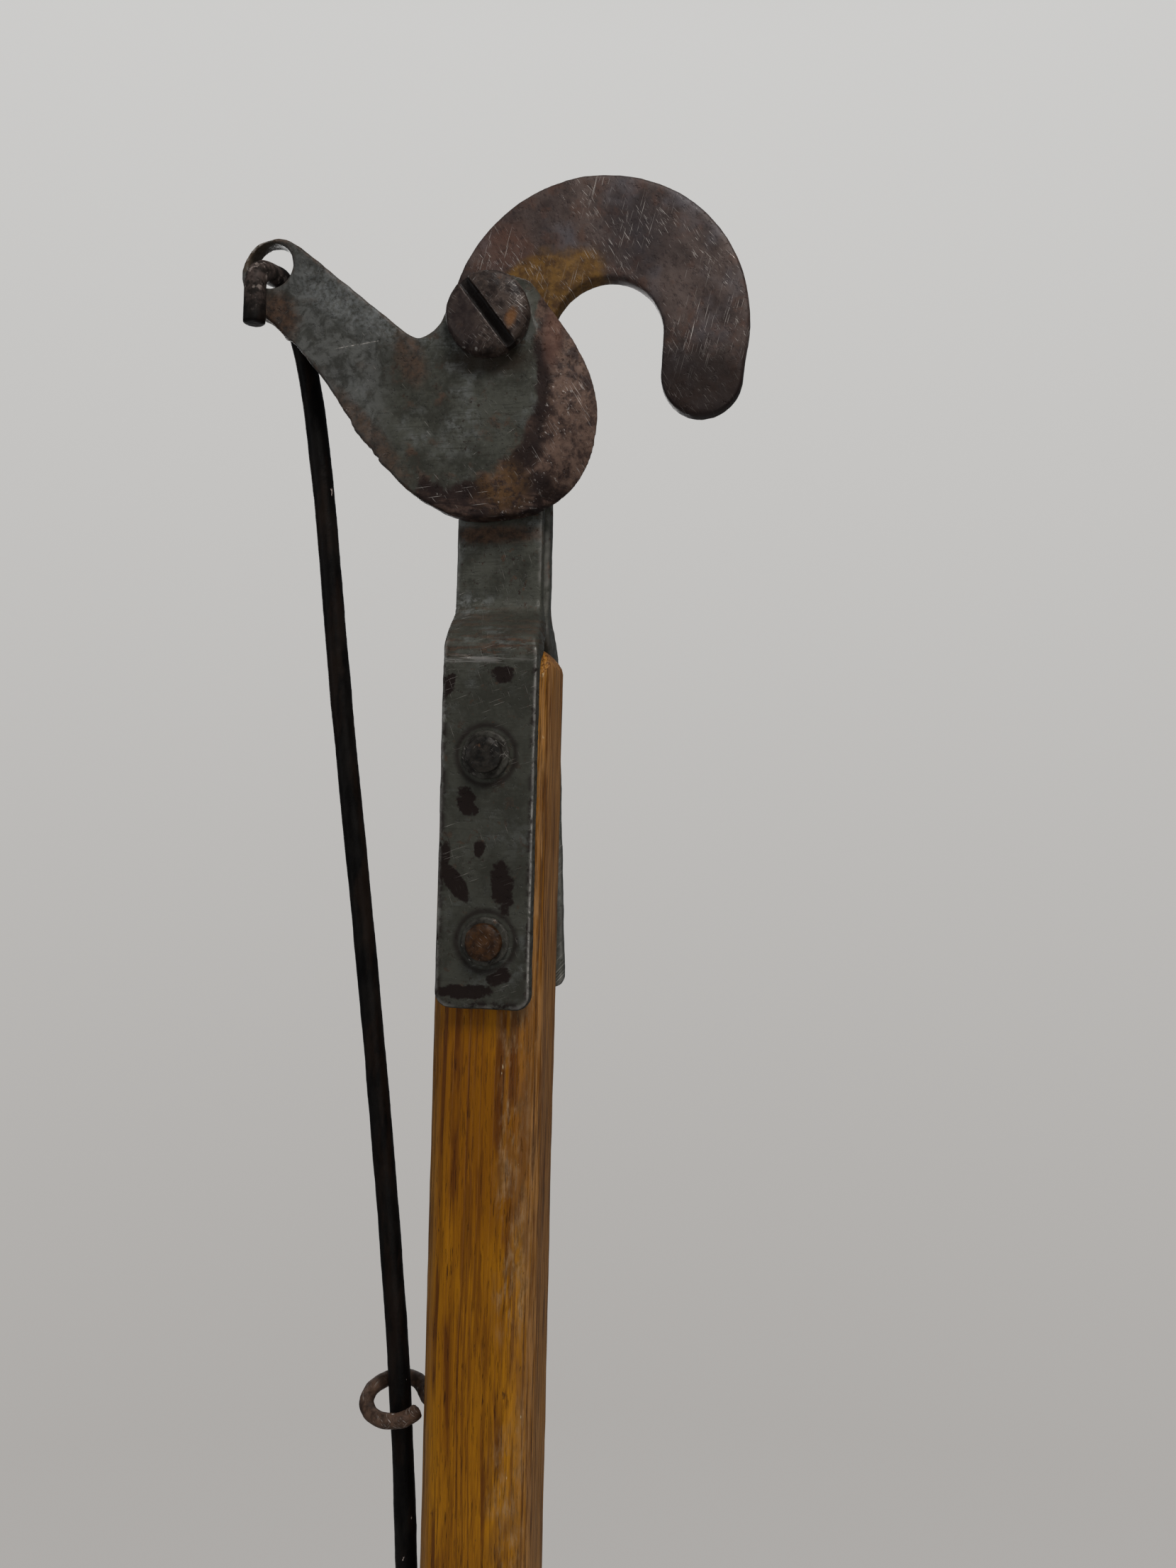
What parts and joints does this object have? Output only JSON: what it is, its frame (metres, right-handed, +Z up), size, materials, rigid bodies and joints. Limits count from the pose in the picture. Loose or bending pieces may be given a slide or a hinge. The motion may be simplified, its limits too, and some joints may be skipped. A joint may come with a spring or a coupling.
{
  "type": "rod-operated pole pruner",
  "caption": "Long-arm tree pruner: fixed forged hook and pivoting blade on a wooden pole, worked by a pull rod and a hand lever.",
  "frame": {"origin": "middle of the flat butt end of the pole", "axes": "+Z runs up the pole to the hook, +X points to the side the hook's mouth is on, -Y faces the viewer who sees the blade in front of the hook"},
  "size_m": [0.2207, 0.0584, 1.219],
  "materials": {
    "pole_wood": "amber varnish over ash, worn grey-brown along the edges",
    "grip_wood": "hand-worn varnish",
    "head_paint": "worn grey-green paint over pitted forged iron",
    "hook_iron": "brown patina with fine bright scratches and rust",
    "rod_steel": "near-black oxide",
    "fixing_iron": "brown rust"
  },
  "bodies": {
    "frame": {"pole": "pole_wood", "hook_plate": "hook_iron", "back_strap": "head_paint", "strap_rivet_upper": "fixing_iron", "strap_rivet_lower": "fixing_iron", "rivet_burr_upper": "head_paint", "rivet_burr_lower": "head_paint", "pivot_screw": "hook_iron", "pivot_washer": "fixing_iron", "pivot_nut": "fixing_iron", "rod_guide_eye": "fixing_iron", "lever_bolt": "fixing_iron", "lever_washer_front": "fixing_iron", "lever_spacer": "fixing_iron", "lever_washer_back": "fixing_iron", "lever_nut": "fixing_iron"},
    "blade": {"blade_lever": "head_paint"},
    "lever": {"hand_lever": "head_paint", "grip_scale_front": "grip_wood", "grip_scale_back": "grip_wood", "grip_rivet_upper": "fixing_iron", "grip_rivet_lower": "fixing_iron"},
    "rod": {"pull_rod": "rod_steel"}
  },
  "joints": [
    {"name": "hand_lever_pivot", "type": "hinge", "parent": "frame", "child": "lever", "pos_m": [0, -0.0202, 0.2479], "axis": [0, -1, 0], "range_deg": [0, 32.35]},
    {"name": "blade_pivot", "type": "hinge", "parent": "frame", "child": "blade", "pos_m": [-0.004, -0.00805, 1.1779], "axis": [0, -1, 0], "range_deg": [0, 52.01]},
    {"name": "rod_foot_pivot", "type": "hinge", "parent": "lever", "child": "rod", "pos_m": [-0.0888, -0.0202, 0.28668], "axis": [0, -1, 0], "range_deg": [-33.44, 0]}
  ],
  "couplings": [
    {"joint": "blade_pivot", "follows": "hand_lever_pivot", "ratio": 1.6074},
    {"joint": "rod_foot_pivot", "follows": "hand_lever_pivot", "ratio": -1.0334}
  ]
}
